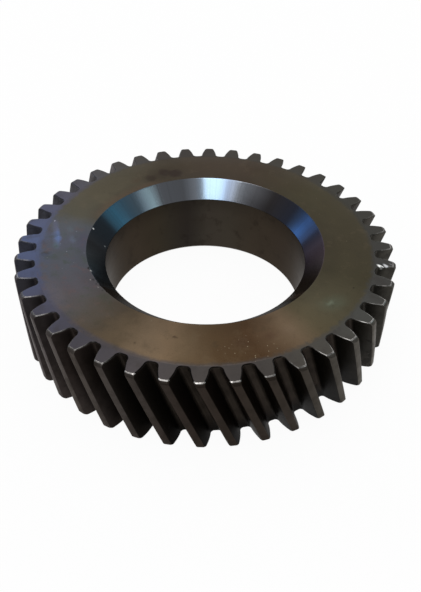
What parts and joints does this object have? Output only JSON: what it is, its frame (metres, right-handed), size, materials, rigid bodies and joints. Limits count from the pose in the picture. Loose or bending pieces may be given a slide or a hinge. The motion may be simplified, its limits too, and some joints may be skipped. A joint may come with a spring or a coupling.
{
  "type": "crankshaft gear",
  "caption": "Thick steel ring gear with left-hand helical involute teeth, a plain press-fit bore and a wide lead-in countersink; drives an engine's timing gears from the crankshaft.",
  "frame": {"origin": "centre of the bore at the gear's bottom end face", "axes": "+Z along the bore axis towards the countersunk hub face, +X through the middle of a tooth at the bottom face"},
  "size_m": [0.1556, 0.1556, 0.0354],
  "materials": {
    "steel": "satin brown-grey heat-treated steel, polished on the bore countersink"
  },
  "bodies": {
    "root": {"crankshaft_gear": "steel"}
  },
  "joints": []
}
